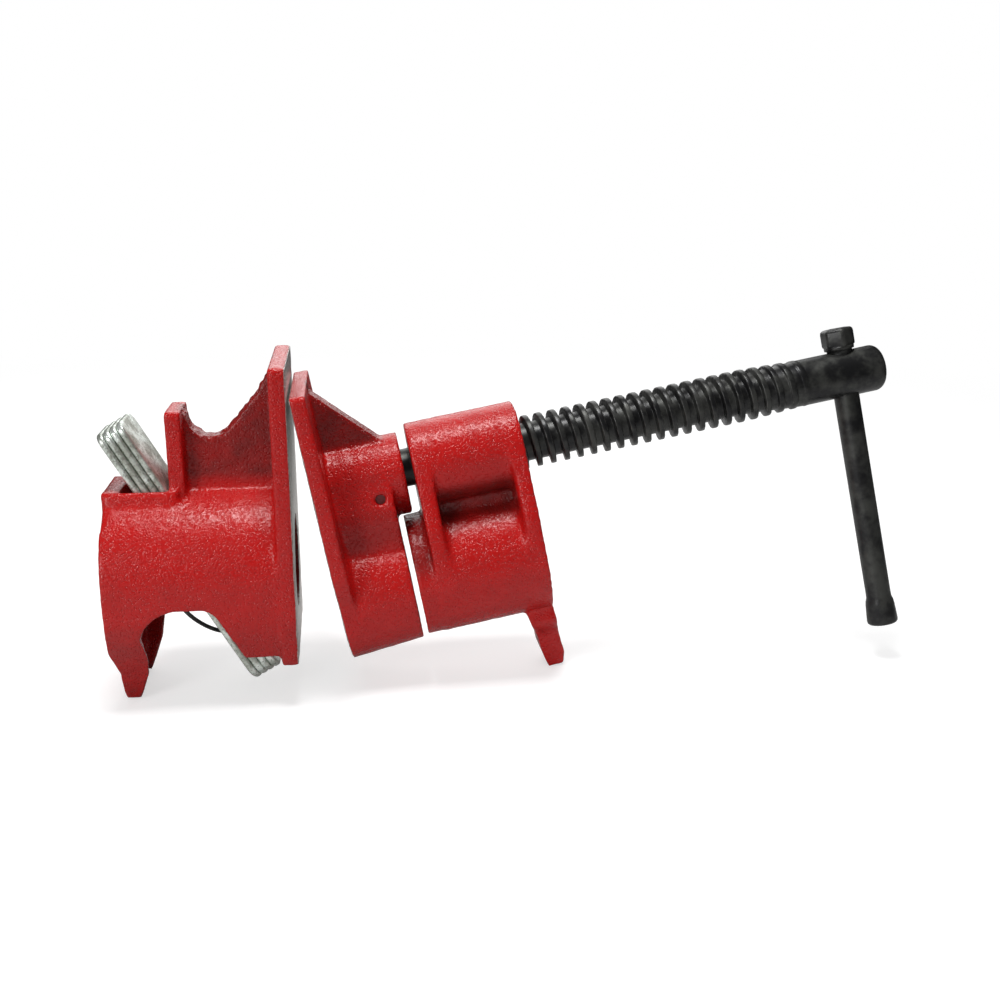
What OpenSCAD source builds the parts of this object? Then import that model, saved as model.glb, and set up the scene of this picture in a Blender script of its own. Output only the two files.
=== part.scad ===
// Pipe clamp fixtures for woodworking: a tail stop with a disc clutch, and a screw head.
// Both halves run on a length of 3/4 inch pipe, which is not part of the object.
// Millimetres, +Z up. The origin is the middle of the pipe way in the tail's clamping face,
// and +X runs from the tail towards the screw head.

/* [Pipe] */
// Outside diameter of the pipe that the clamp runs on
pipe_d = 26.7; // [26.5:0.1:27]
// Radial gap between the pipe and the plain pipe ways
pipe_gap = 0.35; // [0.2:0.05:0.45]

/* [Jaws] */
// Width of both clamping faces
jaw_w = 48; // [44:1:52]
// Height of the tail's clamping face above the pipe's axis
tail_jaw_top = 61.3; // [56:0.1:66]
// Depth of the tail's clamping face below the pipe's axis
tail_jaw_bottom = 24.5; // [24:0.1:27]
// Thickness of the tail's jaw plate
tail_jaw_t = 4.8; // [4:0.1:6]
// Height of the moving jaw above the pipe's axis
head_jaw_top = 67.6; // [62:0.1:69]
// Thickness of the moving jaw's plate
head_jaw_t = 4.6; // [4:0.1:6]

/* [Tail casting] */
// Length of the barrel behind the clamping face
barrel_l = 53; // [50:1:58]
// Outer radius of the barrel
barrel_r = 24; // [23:0.5:25]
// Wall of the barrel
barrel_wall = 4; // [3:0.5:5]
// Thickness of the rear wall, which holds the pipe
rear_wall = 4.5; // [3.5:0.5:5.5]
// Thickness of the front wall with the jaw plate
front_wall = 8; // [7:0.5:10]
// Height of the thumb tab above the pipe's axis
tab_top = 47.3; // [42:0.1:50]
// Thickness of the thumb tab
tab_t = 4.6; // [4:0.1:6]
// Width of the thumb tab and of the plates' tongues
tab_w = 18; // [16:0.5:20]

/* [Clutch] */
// Number of clutch plates
plate_count = 4; // [4:1:4]
// Thickness of one clutch plate
plate_t = 2; // [1.8:0.05:2.4]
// Gap between neighbouring plates
plate_gap = 0.12; // [0.1:0.01:0.2]
// Slope of the plates from upright, with no pipe in the clamp
plate_tilt = 29.5; // [27:0.1:30]
// Width of a plate round the pipe
plate_w = 36; // [34:0.5:37]
// Length of a plate from its fulcrum up to the end of its tongue
tongue_l = 23.5; // [18:0.5:26]
// Length of a plate from its fulcrum down to its lower end
plate_drop = 60; // [58:0.5:62]
// Diameter of the spring's wire
spring_wire_d = 1.2; // [1:0.1:1.4]

/* [Screw head] */
// Slope of the head's axis as it stands on its jaw and foot
head_tilt = 10.5; // [10.5:0.1:10.5]
// Distance from the pipe's axis up to the screw's axis
screw_rise = 36.5; // [36:0.1:37]
// Outer radius of the sleeves round the pipe
sleeve_r = 22; // [21:0.1:22.5]
// Outer radius of the nut boss round the screw
nut_boss_r = 13; // [12:0.5:14]
// Length of the nut boss
nut_boss_l = 33; // [30:0.5:36]
// Radius of the pipe socket's thread, taken as a plain hole
socket_r = 13; // [12.8:0.05:13.2]

/* [Screw and handle] */
// Diameter over the screw's thread
screw_d = 16; // [15.8:0.1:16.2]
// Diameter of the hub at the end of the screw
hub_d = 14.1; // [13.5:0.1:15]
// Length of the hub
hub_l = 23; // [21:0.5:26]
// Length of screw that shows behind the head
screw_free_l = 91; // [86:1:96]
// Diameter of the handle bar
bar_d = 7.6; // [7:0.1:8]
// Length of the bar below the screw's axis
bar_drop = 79.8; // [70:0.1:82]
// Swing of the hanging bar towards the front
bar_swing = 8.6; // [0:0.1:12]

/* [Hidden] */
$fn = 72;
cut = 1;                       // how far a cutter runs past a face

red = [0.72, 0.09, 0.10];
zinc = [0.72, 0.73, 0.72];
black = [0.09, 0.09, 0.10];

ground = -36.8;                // the surface that the parts stand on
way_r = pipe_d / 2 + pipe_gap; // plain pipe way

// Tail casting
cavity_r = barrel_r - barrel_wall;
skirt_z = -22;               // lower edge of the barrel's sides
leg_half_w = 12;
tab_x = -34.6;                 // clutch side of the thumb tab, and the fulcrum
boss_top = 25;                 // flat on top of the barrel, round the slot
boss_half_w = 11.5;
slot_end = -48;                // rear end of the slot for the tongues
slot_half_w = tab_w / 2 + 0.6;
slot_edge_z = boss_top - 0.3;
web_t = 8;

// Clutch, in its own frame: the fulcrum is the origin and the plates hang along -Z
fulcrum = [tab_x - 0.35, boss_top - 0.4];
pack_t = plate_count * (plate_t + plate_gap);
hole_drop = (fulcrum[1]) / cos(plate_tilt) + 1.2;
plate_hole_r = way_r + 2.1;
spring_r = 17.6;               // mean radius of the spring's turns
spring_back = -barrel_l + rear_wall + spring_wire_d / 2 + 0.2;
spring_a0 = -80;               // angle from the top where the wire starts
spring_a1 = 800;               // and where it ends
rise_a0 = 250;                 // where the wire leaves its rear turn
rise_a1 = 470;                 // and where it reaches its front turn
spring_rings = 48;
spring_sides = 8;

// Head, in its own frame: the pipe's axis is X and the moving jaw's face is x = 0
head_x = 12.72;
head_z = -13.71;
jaw_sleeve_l = 22;
jaw_boss_l = 26.7;
jaw_boss_r = 11;
jaw_sleeve_r = 23.4;            // the jaw's sleeve is flush with the foot of its plate
nut_front = jaw_boss_l + 2.5;
nut_back = nut_front + nut_boss_l;
socket_front = jaw_sleeve_l + 1.6;
rim_t = 5;
head_web_t = 12;
foot_tip = (ground - head_z) / cos(head_tilt) - tan(head_tilt) * (nut_back - 1.5);
neck_r = 5.7;
pocket_floor = 12;             // depth of the screw's seat in the jaw boss
pin_x = 18.2;
pin_r = 1.5;
pin_dz = 5.1;                  // the pin runs this far below the screw's axis
groove_w = 2 * pin_r + 0.6;
run_gap = 0.08;                // radial gap of a shaft in its hole
hub_x = nut_back + screw_free_l;
bar_x = hub_x + 11.3;
hub_round = 2.5;
bar_head_r = 5.2;              // six-sided head of the bar, across its corners
bar_head_z = hub_d / 2 + 1.6;
bar_head_h = 5.4;
swage_l = 7.5;                 // length of the swaged end that stops the bar

function arc(c, r, a0, a1, n = 8) = [for (i = [0:n]) let (a = a0 + (a1 - a0) * i / n)
    [c[0] + r * cos(a), c[1] + r * sin(a)]];

// A solid drawn in the XZ plane, with its thickness along Y about the middle plane
module side_profile(t) {
    rotate([90, 0, 0]) linear_extrude(t, center = true) children();
}

// A solid drawn in the YZ plane, from x0 for the length l
module end_profile(x0, l) {
    translate([x0, 0, 0]) rotate([90, 0, 90]) linear_extrude(l) children();
}

module rod_x(x0, x1, r, z = 0) {
    translate([x0, 0, z]) rotate([0, 90, 0]) cylinder(r = r, h = x1 - x0);
}

// A rectangle with round corners, made of squares and circles
module round_rect(x0, y0, x1, y1, r) {
    translate([x0 + r, y0]) square([x1 - x0 - 2 * r, y1 - y0]);
    translate([x0, y0 + r]) square([x1 - x0, y1 - y0 - 2 * r]);
    for (x = [x0 + r, x1 - r], y = [y0 + r, y1 - r]) translate([x, y]) circle(r);
}

module head_frame() {
    translate([head_x, 0, head_z]) rotate([0, -head_tilt, 0]) children();
}

// Tail ------------------------------------------------------------------------------------

// Outer section of the barrel, looking along the pipe: round above, straight and then drawn
// in below, where it becomes the leg
module barrel_section(r) {
    circle(r);
    polygon([[-r, 0], [-r + 0.4, -12], [-r + 1.8, skirt_z], [-17, -26.5], [-leg_half_w, ground],
             [leg_half_w, ground], [17, -26.5], [r - 1.8, skirt_z], [r - 0.4, -12], [r, 0]]);
}

// Side view of what is cut away below: the arch, the open front and the slopes of the leg
module arch_cut() {
    polygon(concat(
        [[-46.2, ground - cut], [-45.2, -20]],
        arc([-33, -17.5], 11, 168, 90, 7),
        arc([-27, -12.5], 6, 90, 20, 5),
        [[-17.5, -17.5]],
        [[-15, skirt_z], [cut, skirt_z], [cut, ground - cut]]));
    polygon([[-barrel_l - cut, -22], [-barrel_l, -22], [-50.4, ground - cut],
             [-barrel_l - cut, ground - cut]]);
}

// The web that ties the thumb tab to the jaw plate, with its hollow upper edge
module tail_web() {
    side_profile(web_t) polygon(concat(
        [[tab_x + tab_t - 1, 20], [tab_x + tab_t - 1, 46]],
        arc([-22.6, 45.6], 6.6, 180, 318, 9),
        [[-9, 51.5], [-5.4, 57.6], [-1, 59], [-1, 20]]));
}

module tail_casting() {
    color(red) difference() {
        union() {
            difference() {
                end_profile(-barrel_l, barrel_l) barrel_section(barrel_r);
                side_profile(2 * barrel_r + 2 * cut) arch_cut();
            }
            end_profile(-tail_jaw_t, tail_jaw_t)
                round_rect(-jaw_w / 2, -tail_jaw_bottom, jaw_w / 2, tail_jaw_top, 1.5);
            end_profile(-barrel_l, 21) round_rect(-boss_half_w, 10, boss_half_w, boss_top, 1);
            end_profile(tab_x, tab_t) round_rect(-tab_w / 2, 20, tab_w / 2, tab_top, 1);
            tail_web();
        }
        // the room that the clutch swings in, open below
        rod_x(-barrel_l + rear_wall, -front_wall, cavity_r);
        translate([-barrel_l + rear_wall, -cavity_r + 1, ground - cut])
            cube([barrel_l - rear_wall - front_wall, 2 * cavity_r - 2, -ground + cut]);
        translate([-17.5, -cavity_r + 1, ground])
            cube([17.5 - tail_jaw_t, 2 * cavity_r - 2, 21]);
        // the way for the tongues; its front wall slopes as the plates do
        side_profile(2 * slot_half_w) polygon([[slot_end, 12], [slot_end, 30], [tab_x, 30],
            [tab_x, slot_edge_z], [tab_x + 0.3 + (slot_edge_z - 12) * tan(plate_tilt), 12]]);
        rod_x(-barrel_l - cut, cut, way_r);
    }
}

// Clutch ----------------------------------------------------------------------------------

module clutch_frame() {
    translate([fulcrum[0], 0, fulcrum[1]]) rotate([0, -plate_tilt, 0]) children();
}

// Face of a plate, with Z along it: a broad body round the hole and a narrower tongue
module plate_face() {
    difference() {
        union() {
            translate([0, -hole_drop]) circle(plate_w / 2);
            round_rect(-plate_w / 2, -plate_drop, plate_w / 2, -hole_drop, 4);
            round_rect(-tab_w / 2, -hole_drop, tab_w / 2, tongue_l, 3);
        }
        translate([0, -hole_drop]) circle(plate_hole_r);
    }
}

module clutch_plate(i) {
    color(zinc) clutch_frame()
        end_profile(-i * (plate_t + plate_gap) - plate_t, plate_t) plate_face();
}

// Spring: one closed turn lies on the rear wall and one on the tilted plates, and the wire
// crosses from one to the other over the top of the pipe

function plate_back_x(z) = fulcrum[0] - (pack_t + spring_wire_d / 2 + 0.35) / cos(plate_tilt)
    + (fulcrum[1] - z) * tan(plate_tilt);
function rise(a) = let (t = min(1, max(0, (a - rise_a0) / (rise_a1 - rise_a0))))
    t * t * (3 - 2 * t);
function spring_point(a) = let (z = spring_r * cos(a))
    [spring_back + rise(a) * (plate_back_x(z) - spring_back), spring_r * sin(a), z];
function spring_ring(a) = let (p = spring_point(a), out = [0, sin(a), cos(a)])
    [for (k = [0:spring_sides - 1]) let (b = 360 * k / spring_sides)
        p + spring_wire_d / 2 * (cos(b) * out + sin(b) * [1, 0, 0])];

module clutch_spring() {
    rings = spring_rings;
    n = spring_sides;
    points = [for (j = [0:rings]) each spring_ring(spring_a0 + (spring_a1 - spring_a0) * j / rings)];
    sides = [for (j = [0:rings - 1], k = [0:n - 1]) let (a = j * n + k, b = j * n + (k + 1) % n)
        each [[a, b, b + n], [a, b + n, a + n]]];
    color(black) polyhedron(points, concat(sides,
        [[for (k = [n - 1:-1:0]) k]], [[for (k = [0:n - 1]) rings * n + k]]));
}

// Head ------------------------------------------------------------------------------------

// Outline of the moving jaw's plate: square above, and round below with the sleeve
module jaw_plate_face() {
    round_rect(-jaw_w / 2, 12, jaw_w / 2, head_jaw_top, 1.5);
    polygon([[-jaw_w / 2, 14], [jaw_w / 2, 14], [jaw_sleeve_r, 0], [-jaw_sleeve_r, 0]]);
    circle(jaw_sleeve_r);
}

module moving_jaw() {
    boss_z = screw_rise;
    color(red) head_frame() difference() {
        union() {
            end_profile(0, head_jaw_t) jaw_plate_face();
            rod_x(0, jaw_sleeve_l, jaw_sleeve_r);
            rod_x(0, jaw_boss_l, jaw_boss_r, boss_z);
            end_profile(0, jaw_sleeve_l)
                polygon([[-jaw_boss_r, boss_z], [jaw_boss_r, boss_z], [15, 14], [-15, 14]]);
            side_profile(web_t) polygon([[1, 20], [1, 66], [5, 64.6], [21.4, boss_z + jaw_boss_r],
                                         [21.4, boss_z]]);
        }
        rod_x(-cut, jaw_sleeve_l + cut, way_r);
        rod_x(pocket_floor, jaw_boss_l + cut, neck_r + run_gap, boss_z);
        translate([pin_x, 0, boss_z - pin_dz]) rotate([90, 0, 0])
            cylinder(r = pin_r, h = 4 * jaw_boss_r, center = true);
    }
}

module jaw_pin() {
    color(black) head_frame() translate([pin_x, 0, screw_rise - pin_dz]) rotate([90, 0, 0])
        cylinder(r = pin_r - 0.01, h = 2 * jaw_boss_r - 0.6, center = true);
}

// Section of the head casting's end rims: two rounds joined by their common tangents
module rim_section(r_pipe, r_nut) {
    lean = asin((r_pipe - r_nut) / screw_rise);
    circle(r_pipe);
    translate([0, screw_rise]) circle(r_nut);
    polygon([for (side = [-1, 1], p = side < 0 ? [[r_pipe, 0], [r_nut, screw_rise]]
                                             : [[r_nut, screw_rise], [r_pipe, 0]])
        [side * p[0] * cos(lean), p[1] + p[0] * sin(lean)]]);
}

module head_casting() {
    color(red) head_frame() difference() {
        union() {
            rod_x(nut_front, nut_back, nut_boss_r, screw_rise);
            rod_x(nut_front, nut_back, sleeve_r);
            rod_x(socket_front, nut_front + 1, sleeve_r - 0.8);
            end_profile(nut_front, nut_boss_l)
                polygon([[-head_web_t / 2, 10], [head_web_t / 2, 10], [head_web_t / 2, screw_rise],
                         [-head_web_t / 2, screw_rise]]);
            for (x = [nut_front, nut_back - rim_t])
                end_profile(x, rim_t) rim_section(sleeve_r, nut_boss_r);
            // the rear foot, forked from the sleeve's underside
            intersection() {
                end_profile(nut_front, nut_boss_l + 4)
                    polygon([[-16, 0], [-10, foot_tip], [10, foot_tip], [16, 0]]);
                side_profile(40) polygon(concat([[54, -12], [54, -20]],
                    arc([49.5, -26.5], 7, 40, -10, 5), [[58, foot_tip],
                    [nut_back + 0.6, foot_tip], [nut_back + 1.6, foot_tip + 3.5],
                    [nut_back, -17], [nut_back, -12]]));
            }
        }
        rod_x(nut_front - cut, nut_back + cut, screw_d / 2 + run_gap, screw_rise);
        rod_x(socket_front - cut, nut_back + 3, socket_r);
        // hollow of the foot, seen from the front
        translate([50, 0, -sleeve_r - 14]) rotate([0, 90, 0]) cylinder(r = 5.5, h = 20);
    }
}

module screw() {
    groove_r = pin_dz - pin_r - 0.1;
    tip_x = pocket_floor + 0.3;
    color(black) head_frame() difference() {
        translate([0, 0, screw_rise]) rotate([0, 90, 0]) rotate_extrude() polygon(concat(
            [[0, tip_x], [neck_r - 1, tip_x], [neck_r, tip_x + 1],
             [neck_r, pin_x - groove_w / 2], [groove_r, pin_x - groove_w / 2],
             [groove_r, pin_x + groove_w / 2], [neck_r, pin_x + groove_w / 2],
             [neck_r, jaw_boss_l + 1.6], [screw_d / 2, nut_front + 0.6],
             [screw_d / 2, hub_x - 1.5], [hub_d / 2, hub_x]],
            arc([hub_d / 2 - hub_round, hub_x + hub_l - hub_round], hub_round, 0, 90),
            [[0, hub_x + hub_l]]));
        bar_frame() cylinder(r = bar_d / 2 + run_gap, h = 4 * hub_d, center = true);
    }
}

// The bar's own frame in the head: its axis is Z and the screw's axis is z = 0
module bar_frame() {
    translate([bar_x, 0, screw_rise]) rotate([-bar_swing, 0, 0]) children();
}

module handle_bar() {
    r = bar_d / 2;
    color(black) head_frame() bar_frame() {
        rotate_extrude() polygon([[0, -bar_drop], [r + 0.7, -bar_drop], [r + 1, -bar_drop + 0.6],
            [r + 0.5, -bar_drop + swage_l], [r, -bar_drop + swage_l + 1.2], [r, hub_d / 2 + 0.4],
            [r + 0.8, hub_d / 2 + 0.5], [r + 0.8, bar_head_z + 0.2], [0, bar_head_z + 0.2]]);
        translate([0, 0, bar_head_z]) rotate(30)
            cylinder(r = bar_head_r, h = bar_head_h, $fn = 6);
    }
}

tail_casting();
clutch_plate(3);  // clutch_plate_1
clutch_plate(2);  // clutch_plate_2
clutch_plate(1);  // clutch_plate_3
clutch_plate(0);  // clutch_plate_4
clutch_spring();
moving_jaw();
jaw_pin();
head_casting();
screw();
handle_bar();
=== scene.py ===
# %% [markdown]
# # A woodworking pipe clamp
# The object is a pair of red cast iron fixtures for a length of pipe. The tail, on the left,
# grips the pipe with a pack of steel plates, and the head, on the right, pushes a moving jaw
# with a screw. The construction comes in as a fixed frame. This file adds what a maker sees and
# feels: the sandy skin of the castings, the coarse thread, plating, oxide, and the light. The
# frame is in metres, and the sizes below are in millimetres, because that is how such parts are
# drawn.

import math

import bmesh
import bpy
import numpy as np
from mathutils import Matrix


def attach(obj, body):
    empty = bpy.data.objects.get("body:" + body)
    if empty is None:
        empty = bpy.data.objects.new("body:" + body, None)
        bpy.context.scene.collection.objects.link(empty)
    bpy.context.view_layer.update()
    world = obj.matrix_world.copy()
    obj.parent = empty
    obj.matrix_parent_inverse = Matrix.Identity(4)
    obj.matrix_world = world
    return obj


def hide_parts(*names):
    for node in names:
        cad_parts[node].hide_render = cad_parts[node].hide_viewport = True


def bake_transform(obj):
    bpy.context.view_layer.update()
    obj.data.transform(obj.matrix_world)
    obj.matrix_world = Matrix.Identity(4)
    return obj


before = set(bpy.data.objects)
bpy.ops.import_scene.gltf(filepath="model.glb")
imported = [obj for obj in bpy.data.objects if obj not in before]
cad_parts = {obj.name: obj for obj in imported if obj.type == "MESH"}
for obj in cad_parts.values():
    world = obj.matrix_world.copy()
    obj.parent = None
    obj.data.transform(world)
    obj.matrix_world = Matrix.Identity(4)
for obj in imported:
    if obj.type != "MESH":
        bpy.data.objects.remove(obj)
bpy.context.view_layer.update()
MM = 0.001

# %% [markdown]
# ## Camera
# The photograph was taken from close by: both halves show their inner sides, and the level
# surfaces near the floor open up more than those at the top. A camera 348 mm away with a 42 mm
# lens, looking 15 degrees down, makes the near and far edges of both jaws agree.

# %% camera
CAMERA_MM = (14.1, -336.0, 109.5)
LOOK_DOWN = math.radians(15.4)
TURN = math.radians(-8.0)
FOCAL_PIXELS = 1160.0
PHOTO_PIXELS = 1000.0

camera_data = bpy.data.cameras.new("camera")
camera_data.sensor_width = 36.0
camera_data.sensor_fit = "HORIZONTAL"
camera_data.lens = camera_data.sensor_width * FOCAL_PIXELS / PHOTO_PIXELS
camera_data.clip_start = 0.01
camera = bpy.data.objects.new("camera", camera_data)
camera.location = [c * MM for c in CAMERA_MM]
camera.rotation_euler = (math.pi / 2 - LOOK_DOWN, 0.0, TURN)
bpy.context.collection.objects.link(camera)
bpy.context.scene.camera = camera
print("lens", round(camera_data.lens, 2), "mm")

# %% [markdown]
# ## The head's own axes
# The head leans: it stands on the foot of its jaw and on its rear foot, so its axis rises by
# 10.5 degrees. Everything on it is easier to describe along its own axes: u along the pipe way
# from the jaw's face, y across, and v up from the pipe's axis. The clutch plates lean as well,
# about the edge of the slot that they hang on, which is their fulcrum. One pair of functions
# takes points from such leaning axes to the frame's and back.

# %% axes of the head and the fulcrum of the clutch
HEAD_TILT = math.radians(10.5)
HEAD_ORIGIN = np.array([12.72, 0.0, -13.71])
SCREW_RISE = 36.5
GROUND = -36.8
PLATE_TILT = math.radians(29.5)
FULCRUM = np.array([-34.95, 0.0, 24.6])


def lean(angle, origin):
    """Two functions. The first takes points (a, y, b) to the frame:
    origin + a * (cos, 0, sin) + y * (0, 1, 0) + b * (-sin, 0, cos). The second takes them back."""
    c, s = math.cos(angle), math.sin(angle)
    turn = np.array([[c, 0.0, s], [0.0, 1.0, 0.0], [-s, 0.0, c]])
    return (lambda points: np.asarray(points) @ turn + origin,
            lambda points: (np.asarray(points) - origin) @ turn.T)


head_place, head_back = lean(HEAD_TILT, HEAD_ORIGIN)
plate_place = lean(PLATE_TILT, FULCRUM)[0]
print("head origin", HEAD_ORIGIN, "fulcrum", FULCRUM)

# %% [markdown]
# ## From arrays to pieces
# Most new pieces are grids: a function of two parameters gives the points, and the faces only
# say which neighbours join. A turned part is closed at both ends with one point on its axis.

# %% mesh helpers
def grid_faces(rows, cols, wrap_rows=False):
    """Quads of a grid whose columns wrap round: row i, column j joins i + 1 and j + 1."""
    i = np.arange(rows if wrap_rows else rows - 1)[:, None]
    j = np.arange(cols)[None, :]
    up = (i + 1) % rows
    side = (j + 1) % cols
    quads = np.stack([i * cols + j, i * cols + side, up * cols + side, up * cols + j], axis=-1)
    return quads.reshape(-1, 4)


def closed_faces(rows, cols):
    """The grid's quads and a fan of triangles at each end. The two points that follow those of the
    grid are the fans' middles: the first row's, then the last row's."""
    j = np.arange(cols)
    after = (j + 1) % cols
    first, last, last_row = rows * cols, rows * cols + 1, (rows - 1) * cols
    fans = [(first, b, a) for a, b in zip(j, after)]
    fans += [(last, last_row + a, last_row + b) for a, b in zip(j, after)]
    return grid_faces(rows, cols).tolist() + fans


def turned(axis_at, radius):
    """A closed turned form about +X: point (x[i], r[i, j] * cos, r[i, j] * sin), with an end point
    on the axis before the first row and one after the last."""
    rows, cols = radius.shape
    angle = np.linspace(0, 2 * np.pi, cols, endpoint=False)
    x = np.broadcast_to(np.asarray(axis_at).reshape(rows, -1), radius.shape)
    points = np.stack([x, radius * np.cos(angle), radius * np.sin(angle)], axis=-1).reshape(-1, 3)
    ends = np.array([[x[0].mean(), 0, 0], [x[-1].mean(), 0, 0]])
    return np.vstack([points, ends]), closed_faces(rows, cols)


def smooth(mesh):
    """Marks every face of a mesh as smooth shaded."""
    mesh.polygons.foreach_set("use_smooth", np.ones(len(mesh.polygons), dtype=bool))


def make_piece(name, points_mm, faces):
    """A smooth shaded mesh object at the origin, with its normals pointing out."""
    mesh = bpy.data.meshes.new(name)
    mesh.from_pydata((np.asarray(points_mm) * MM).tolist(), [], [tuple(f) for f in faces])
    work = bmesh.new()
    work.from_mesh(mesh)
    bmesh.ops.recalc_face_normals(work, faces=work.faces)
    work.to_mesh(mesh)
    work.free()
    smooth(mesh)
    piece = bpy.data.objects.new(name, mesh)
    bpy.context.collection.objects.link(piece)
    return piece


def settle(piece, body, slot, material, *nodes):
    """Dresses a piece, lets it ride on its body and stand for its nodes, and prints its size."""
    piece.data.materials.clear()
    piece.data.materials.append(material)
    if body:
        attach(piece, body)
    if nodes:
        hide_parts(*nodes)
    size_mm = [round(d / MM, 1) for d in piece.dimensions]
    print(piece.name, len(piece.data.polygons), "faces", size_mm, "mm")


def step(x, a, b):
    """Smooth step: 0 before a, 1 after b, and t * t * (3 - 2 t) between them."""
    t = np.clip((x - a) / (b - a), 0, 1)
    return t * t * (3 - 2 * t)


# %% [markdown]
# ## Finishes
# Three finishes make the whole clamp: red paint on a sandy casting, zinc plate on stamped
# steel, and black oxide on turned steel. They share two effects. One is the grain of the
# surface at two scales, and the other finds the edges, which are made lighter, and the hollows,
# which get painted shade. On steel the lighter edges are wear, and on the red paint they are a
# painted highlight. Both are node groups, so a change in one place changes every finish, and
# each finish sets its own amounts.

# %% node helpers
def feed(tree, socket, value):
    """Links a value that is a socket, and sets any other."""
    if isinstance(value, bpy.types.NodeSocket):
        tree.links.new(value, socket)
    else:
        socket.default_value = value


def add(tree, kind, **inputs):
    """A node with its named inputs fed."""
    node = tree.nodes.new(kind)
    for name, value in inputs.items():
        feed(tree, node.inputs[name.replace("_", " ")], value)
    return node


def calc(tree, operation, *values):
    """A math node on up to three values or sockets."""
    node = tree.nodes.new("ShaderNodeMath")
    node.operation = operation
    for socket, value in zip(node.inputs, values):
        feed(tree, socket, value)
    return node.outputs[0]


def mix(tree, factor, a, b):
    """Colour a where factor is 0 and b where it is 1. A mix node keeps its colour sockets at 6 and
    7, after those for numbers and vectors."""
    node = tree.nodes.new("ShaderNodeMix")
    node.data_type = "RGBA"
    for index, value in ((0, factor), (6, a), (7, b)):
        feed(tree, node.inputs[index], value)
    return node.outputs[2]


def part_mix(tree, mask, share, a, b):
    """Colour a, and the share of colour b where the mask is 1."""
    return mix(tree, calc(tree, "MULTIPLY", mask, share), a, b)


def object_coords(tree):
    """The point on the object, in metres along its own axes."""
    return add(tree, "ShaderNodeTexCoord").outputs["Object"]


def ramp(tree, value, low, high):
    """0 below low, 1 above high, smooth between."""
    node = tree.nodes.new("ShaderNodeMapRange")
    node.interpolation_type = "SMOOTHSTEP"
    node.inputs["From Min"].default_value = low
    node.inputs["From Max"].default_value = high
    tree.links.new(value, node.inputs["Value"])
    return node.outputs["Result"]


def new_group(name, inputs, outputs):
    """An empty shader node group with float sockets."""
    tree = bpy.data.node_groups.new(name, "ShaderNodeTree")
    for label, value in inputs:
        socket = tree.interface.new_socket(label, in_out="INPUT", socket_type="NodeSocketFloat")
        socket.default_value = value
    for label in outputs:
        tree.interface.new_socket(label, in_out="OUTPUT", socket_type="NodeSocketFloat")
    return tree, tree.nodes.new("NodeGroupInput"), tree.nodes.new("NodeGroupOutput")


# %% [markdown]
# ### Grain
# Sand casting leaves pebbles about a millimetre wide, and paint rounds them. Turned and plated
# steel has the same look in lower relief. Two noises at different scales, and a cell pattern
# for pits, give a height for bump, a slow variation for colour and gloss, and a fine one for
# specks.

# %% grain group
grain_tree, grain_in, grain_out = new_group(
    "grain", (("Scale", 900.0), ("Pits", 0.3)), ("Height", "Slow", "Fine"))
coords = object_coords(grain_tree)
fine = add(grain_tree, "ShaderNodeTexNoise", Vector=coords, Scale=grain_in.outputs["Scale"],
           Detail=3.0, Roughness=0.55)
slow_scale = calc(grain_tree, "MULTIPLY", grain_in.outputs["Scale"], 0.11)
slow = add(grain_tree, "ShaderNodeTexNoise", Vector=coords, Scale=slow_scale, Detail=4.0,
           Roughness=0.6)
pits = add(grain_tree, "ShaderNodeTexVoronoi", Vector=coords, Scale=grain_in.outputs["Scale"])
pit_depth = calc(grain_tree, "MULTIPLY", ramp(grain_tree, pits.outputs["Distance"], 0.05, 0.55),
                 grain_in.outputs["Pits"])
height = calc(grain_tree, "ADD", fine.outputs["Fac"], pit_depth)
grain_tree.links.new(height, grain_out.inputs["Height"])
grain_tree.links.new(slow.outputs["Fac"], grain_out.inputs["Slow"])
grain_tree.links.new(fine.outputs["Fac"], grain_out.inputs["Fine"])
print("grain group", len(grain_tree.nodes), "nodes")

# %% [markdown]
# ### Edges and hollows
# The renderer knows where a surface bulges or folds. Broken up with a slow noise, that is where
# edges are made lighter, which is wear on steel and a painted highlight on the red paint, and
# where hollows get painted shade.

# %% edge group
edge_tree, edge_in, edge_out = new_group(
    "edges", (("Break", 220.0), ("Edge", 0.54), ("Hollow", 0.47)), ("Edge", "Hollow"))
coords = object_coords(edge_tree)
bulge = add(edge_tree, "ShaderNodeNewGeometry").outputs["Pointiness"]
broken = add(edge_tree, "ShaderNodeTexNoise", Vector=coords, Scale=edge_in.outputs["Break"],
             Detail=3.0)
jitter = calc(edge_tree, "MULTIPLY", calc(edge_tree, "SUBTRACT", broken.outputs["Fac"], 0.5), 0.08)
rough_bulge = calc(edge_tree, "ADD", bulge, jitter)
over = calc(edge_tree, "SUBTRACT", rough_bulge, edge_in.outputs["Edge"])
under = calc(edge_tree, "SUBTRACT", edge_in.outputs["Hollow"], rough_bulge)
edge_tree.links.new(ramp(edge_tree, over, 0.0, 0.06), edge_out.inputs["Edge"])
# Hollow is the mask of the painted shade in the hollows
edge_tree.links.new(ramp(edge_tree, under, 0.0, 0.06), edge_out.inputs["Hollow"])
print("edge group", len(edge_tree.nodes), "nodes")


# %% material helpers
def new_material(name, **inputs):
    """A material with its principled shader, ready for colour, roughness and bump."""
    material = bpy.data.materials.new(name)
    material.use_nodes = True
    tree = material.node_tree
    shader = tree.nodes["Principled BSDF"]
    for label, value in inputs.items():
        shader.inputs[label.replace("_", " ")].default_value = value
    return material, tree, shader


def place_group(tree, group, **inputs):
    """A group placed in a material with its own amounts."""
    node = tree.nodes.new("ShaderNodeGroup")
    node.node_tree = group
    for name, value in inputs.items():
        node.inputs[name].default_value = value
    return node


def bump(tree, shader, heights, strength, distance_mm):
    """Joins a height to the shader's normal."""
    node = add(tree, "ShaderNodeBump", Strength=strength, Distance=distance_mm * MM,
               Height=heights)
    tree.links.new(node.outputs["Normal"], shader.inputs["Normal"])
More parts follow.
